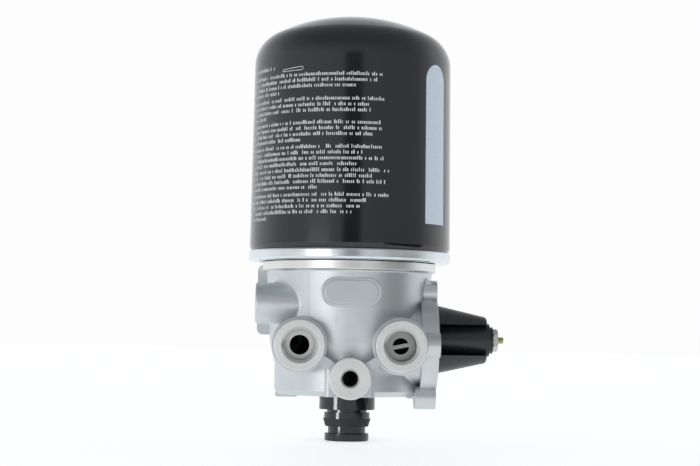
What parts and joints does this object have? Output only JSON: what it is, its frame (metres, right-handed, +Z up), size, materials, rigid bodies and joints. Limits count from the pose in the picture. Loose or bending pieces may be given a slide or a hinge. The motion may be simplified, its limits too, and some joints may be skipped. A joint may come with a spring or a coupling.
{
  "type": "air dryer",
  "caption": "Compressed-air dryer: black spin-on desiccant cartridge on a die-cast valve housing with front ports, a ribbed governor at the side and a vent connector below.",
  "frame": {"origin": "centre of the vent connector's lower face, on the cartridge axis", "axes": "+Z up along the cartridge axis, -Y out of ports 1, 21 and 22, +X out along the governor"},
  "size_m": [0.172, 0.137, 0.2875],
  "materials": {
    "can_black": "gloss black paint on deep-drawn steel",
    "zinc_sheet": "bright zinc plate",
    "steel_plate": "plain pressed steel",
    "rubber": "matt black rubber",
    "canister_plastic": "moulded natural plastic",
    "felt": "pressed white felt",
    "desiccant": "packed pale beads",
    "spring_steel": "drawn spring wire",
    "die_cast_aluminium": "blasted die casting with machined faces",
    "turned_aluminium": "turned",
    "brass": "turned",
    "cover_plastic": "satin black moulded plastic",
    "yellow_zinc": "yellow zinc plate",
    "vent_plastic": "glossy black moulded plastic"
  },
  "bodies": {
    "body": {"cartridge_can": "can_black", "seam_lid": "zinc_sheet", "base_plate": "steel_plate", "cartridge_gasket": "rubber", "hub_o_ring": "rubber", "desiccant_canister": "canister_plastic", "lower_perforated_plate": "steel_plate", "lower_fleece": "felt", "desiccant_bed": "desiccant", "upper_fleece": "felt", "upper_perforated_plate": "steel_plate", "bed_spring": "spring_steel", "prefilter_ring": "felt", "cartridge_nipple": "steel_plate", "valve_housing": "die_cast_aluminium", "regeneration_nozzle": "brass", "check_valve_guide": "turned_aluminium", "check_valve_spring": "spring_steel", "governor_cover": "cover_plastic", "adjusting_screw": "yellow_zinc", "lock_nut": "zinc_sheet", "governor_spring_plate": "steel_plate", "governor_spring": "spring_steel", "governor_diaphragm": "rubber", "purge_valve_sleeve": "turned_aluminium", "purge_valve_spring": "spring_steel", "vent_connector": "vent_plastic", "vent_seal_ring": "rubber", "vent_retaining_ring": "spring_steel", "vent_o_ring": "rubber"},
    "check_valve": {"check_valve_disc": "rubber"},
    "governor_valve": {"diaphragm_plate": "turned_aluminium", "governor_valve_stem": "brass"},
    "purge_valve": {"purge_valve_piston": "turned_aluminium", "purge_piston_o_ring": "rubber", "purge_valve_disc": "rubber"}
  },
  "joints": [
    {"name": "check_valve_slide", "type": "slide", "parent": "body", "child": "check_valve", "axis": [0, -1, 0], "range_m": [0, 0.003], "stiffness_N_per_m": 400, "springref_m": -0.002, "deforming": ["check_valve_spring"]},
    {"name": "governor_slide", "type": "slide", "parent": "body", "child": "governor_valve", "axis": [1, 0, 0], "range_m": [0, 0.0012], "stiffness_N_per_m": 20000, "springref_m": -0.004, "deforming": ["governor_spring", "governor_diaphragm"]},
    {"name": "purge_valve_slide", "type": "slide", "parent": "body", "child": "purge_valve", "axis": [0, 0, -1], "range_m": [0, 0.0025], "stiffness_N_per_m": 3000, "springref_m": -0.003, "deforming": ["purge_valve_spring"]}
  ]
}
